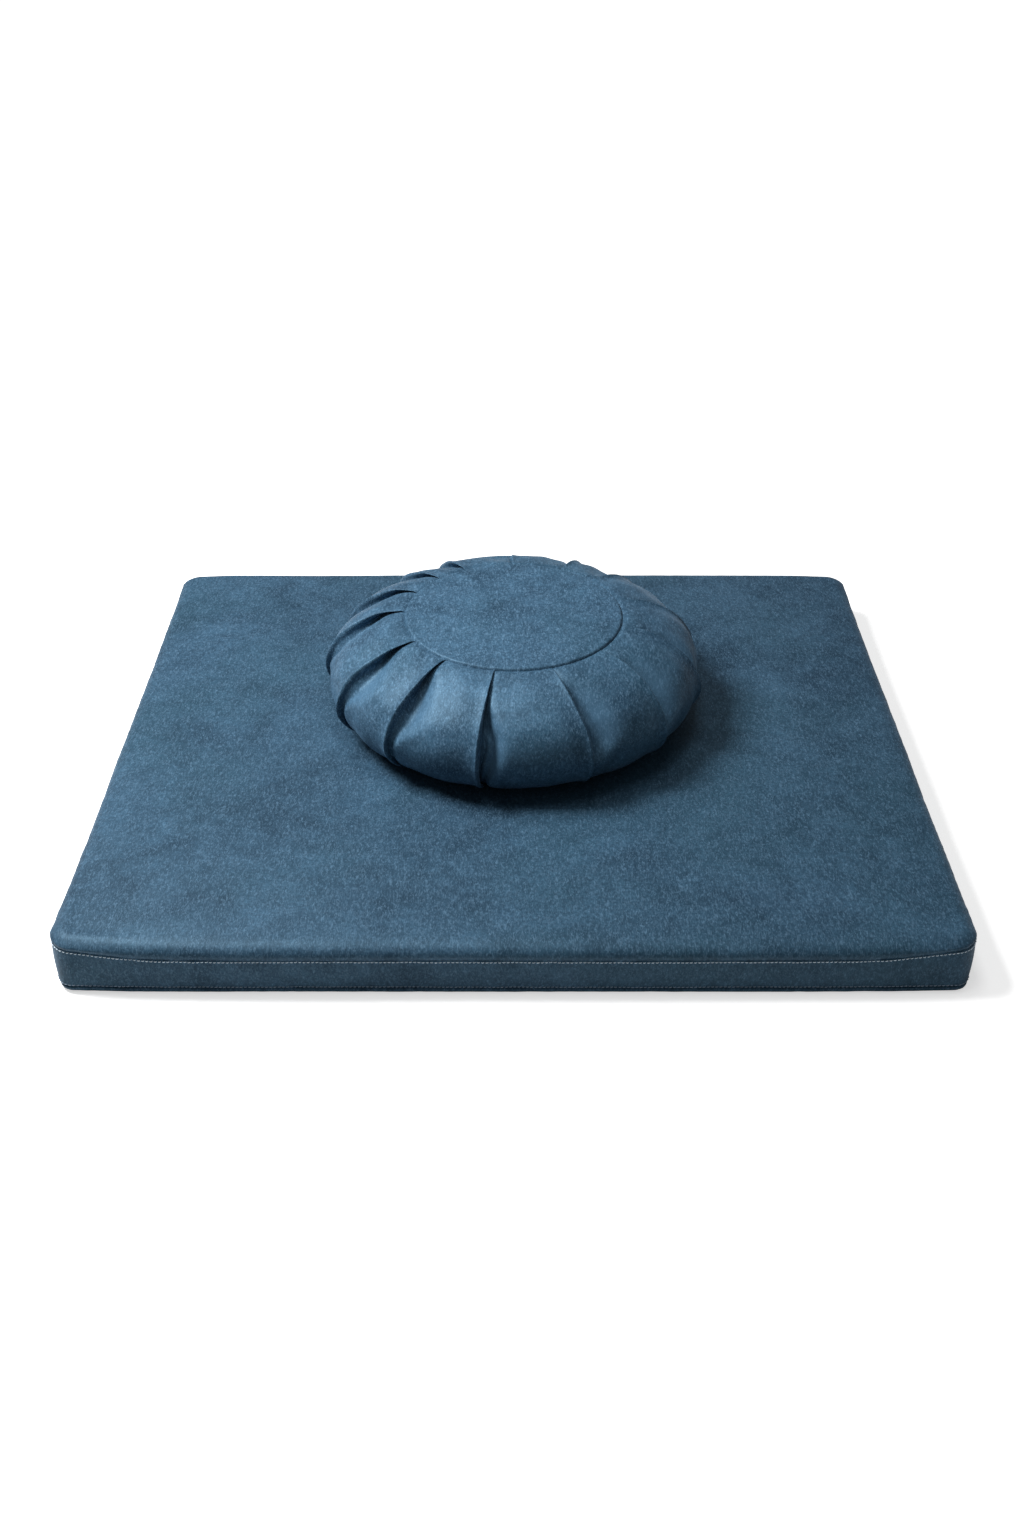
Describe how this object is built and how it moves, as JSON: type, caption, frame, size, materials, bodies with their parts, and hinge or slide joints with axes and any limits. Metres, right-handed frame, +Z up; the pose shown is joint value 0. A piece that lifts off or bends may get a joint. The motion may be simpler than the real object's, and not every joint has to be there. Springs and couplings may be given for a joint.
{
  "type": "floor cushion",
  "caption": "Floor cushion set: a boxed rectangular mat with a round pleated cushion resting on it, both with zipped covers.",
  "frame": {"origin": "middle of the mat's bottom face, on the floor", "axes": "+X along the mat's long side, +Y to its back where the zips are, +Z up"},
  "size_m": [0.8612, 0.7517, 0.1763],
  "materials": {
    "cover_cloth": "matte",
    "lining_cloth": "matte",
    "wadding": "matte",
    "foam": "matte",
    "fibre_fill": "matte",
    "thread": "satin",
    "zip_tape": "matte",
    "zip_coil": "satin",
    "zip_metal": "satin"
  },
  "bodies": {
    "mat": {"mat_bottom_panel": "cover_cloth", "mat_bottom_topstitch": "thread", "mat_foam_core": "foam", "mat_liner_band": "lining_cloth", "mat_liner_bottom": "lining_cloth", "mat_liner_top": "lining_cloth", "mat_side_band": "cover_cloth", "mat_top_panel": "cover_cloth", "mat_top_topstitch": "thread", "mat_wadding_bottom": "wadding", "mat_wadding_top": "wadding", "mat_zip_coil_lower": "zip_coil", "mat_zip_coil_upper": "zip_coil", "mat_zip_stitching": "thread", "mat_zip_stop_closed": "zip_metal", "mat_zip_stop_open": "zip_metal", "mat_zip_strip_lower": "cover_cloth", "mat_zip_strip_upper": "cover_cloth", "mat_zip_tape_lower": "zip_tape", "mat_zip_tape_upper": "zip_tape"},
    "round_cushion": {"cushion_bottom_disc": "cover_cloth", "cushion_filling": "fibre_fill", "cushion_liner_band": "lining_cloth", "cushion_liner_bottom": "lining_cloth", "cushion_liner_top": "lining_cloth", "cushion_side_band": "cover_cloth", "cushion_top_disc": "cover_cloth", "cushion_zip_coil_left": "zip_coil", "cushion_zip_coil_right": "zip_coil", "cushion_zip_stitching": "thread", "cushion_zip_stop_bottom": "zip_metal", "cushion_zip_stop_top": "zip_metal", "cushion_zip_tape_left": "zip_tape", "cushion_zip_tape_right": "zip_tape"},
    "mat_slider": {"mat_zip_slider": "zip_metal"},
    "mat_tab": {"mat_zip_pull_tab": "zip_metal"},
    "cushion_slider": {"cushion_zip_slider": "zip_metal"},
    "cushion_tab": {"cushion_zip_pull_tab": "zip_metal"}
  },
  "joints": [
    {"name": "cushion_lift", "type": "slide", "parent": "mat", "child": "round_cushion", "axis": [0, 0, 1], "range_m": [0, 0.25]},
    {"name": "mat_zip", "type": "slide", "parent": "mat", "child": "mat_slider", "axis": [1, 0, 0], "range_m": [0, 0.584]},
    {"name": "mat_tab_swing", "type": "hinge", "parent": "mat_slider", "child": "mat_tab", "pos_m": [-0.292, 0.3763, 0.024], "axis": [0, 0, 1], "range_deg": [0, 160]},
    {"name": "cushion_zip", "type": "hinge", "parent": "round_cushion", "child": "cushion_slider", "pos_m": [0, 0.203, 0.1083], "axis": [-1, 0, 0], "range_deg": [0, 66.07]},
    {"name": "cushion_tab_swing", "type": "hinge", "parent": "cushion_slider", "child": "cushion_tab", "pos_m": [0, 0.24741, 0.13398], "axis": [1, 0, 0], "range_deg": [0, 150]}
  ]
}
